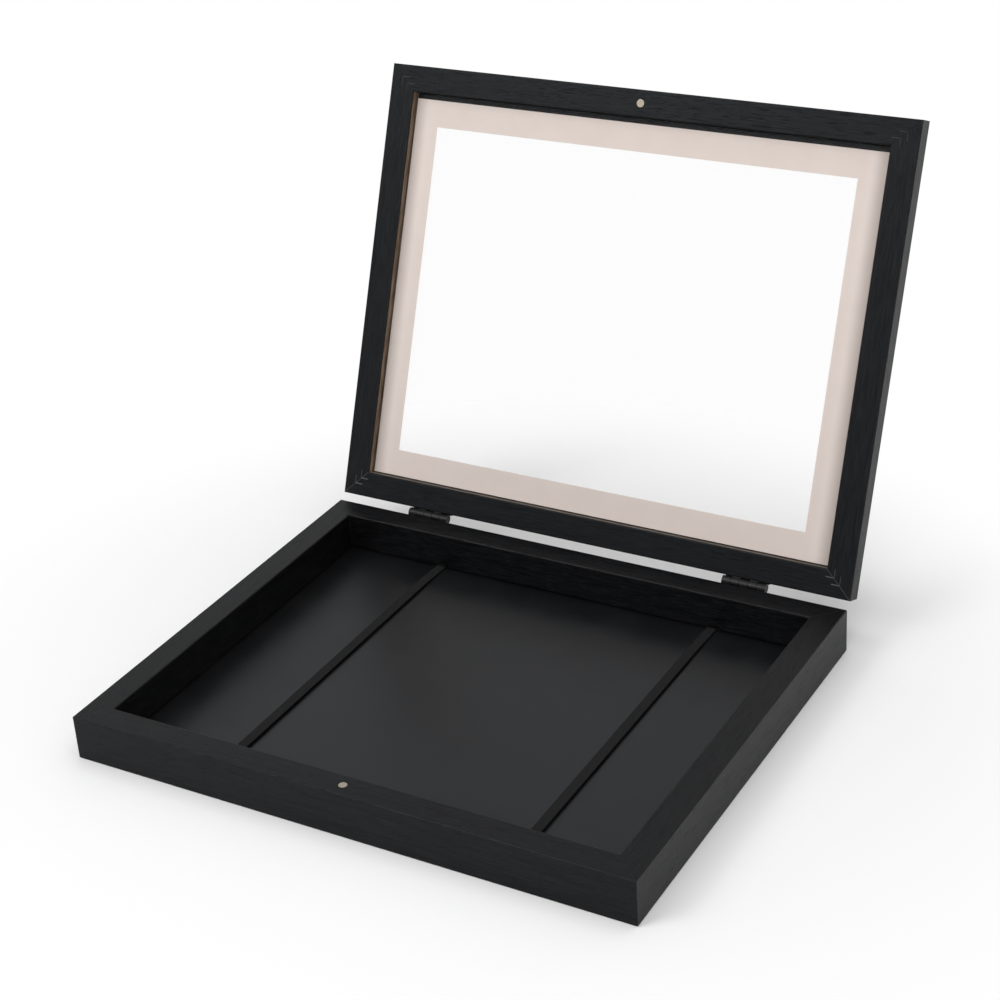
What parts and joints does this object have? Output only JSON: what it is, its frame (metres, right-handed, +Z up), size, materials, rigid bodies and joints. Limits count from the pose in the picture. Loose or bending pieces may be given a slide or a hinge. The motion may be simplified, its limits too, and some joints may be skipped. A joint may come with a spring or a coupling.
{
  "type": "hinged shadow box",
  "caption": "Shallow black wooden display frame: a tray with two elastic straps, a hinged lid with a mat and a clear window, and a magnetic catch.",
  "frame": {"origin": "middle of the tray's underside", "axes": "+X along the hinge, +Y from the catch side towards the hinges, +Z up; the lid stands open 111.7 degrees"},
  "size_m": [0.312, 0.354, 0.2579],
  "materials": {
    "black_wood": "black stained open-grain wood, satin",
    "black_panel": "black coated fibreboard, satin",
    "elastic": "black woven elastic",
    "magnet_nickel": "nickel plated disc",
    "bright_steel": "bright steel strip",
    "black_hinge": "black painted steel",
    "clear_acrylic": "clear, polished",
    "mat_card": "warm grey-white, matt"
  },
  "bodies": {
    "tray": {"base_front_rail": "black_wood", "base_back_rail": "black_wood", "base_left_rail": "black_wood", "base_right_rail": "black_wood", "back_panel": "black_panel", "panel_points": "bright_steel", "strap_left": "elastic", "strap_right": "elastic", "strap_staples": "bright_steel", "base_magnet": "magnet_nickel", "base_corner_nails": "bright_steel", "hanger_landscape": "bright_steel", "hanger_portrait": "bright_steel", "left_hinge_base_leaf": "black_hinge", "right_hinge_base_leaf": "black_hinge", "left_hinge_pin": "black_hinge", "right_hinge_pin": "black_hinge", "hinge_screws_base": "black_hinge"},
    "lid": {"lid_front_rail": "black_wood", "lid_back_rail": "black_wood", "lid_left_rail": "black_wood", "lid_right_rail": "black_wood", "glazing_pane": "clear_acrylic", "mat_board": "mat_card", "lid_magnet": "magnet_nickel", "lid_corner_nails": "bright_steel", "left_hinge_lid_leaf": "black_hinge", "right_hinge_lid_leaf": "black_hinge", "hinge_screws_lid": "black_hinge"}
  },
  "joints": [
    {"name": "lid_hinge", "type": "hinge", "parent": "tray", "child": "lid", "pos_m": [0, 0.1268, 0.02515], "axis": [-1, 0, 0], "range_deg": [-111.7, 68.3]}
  ]
}
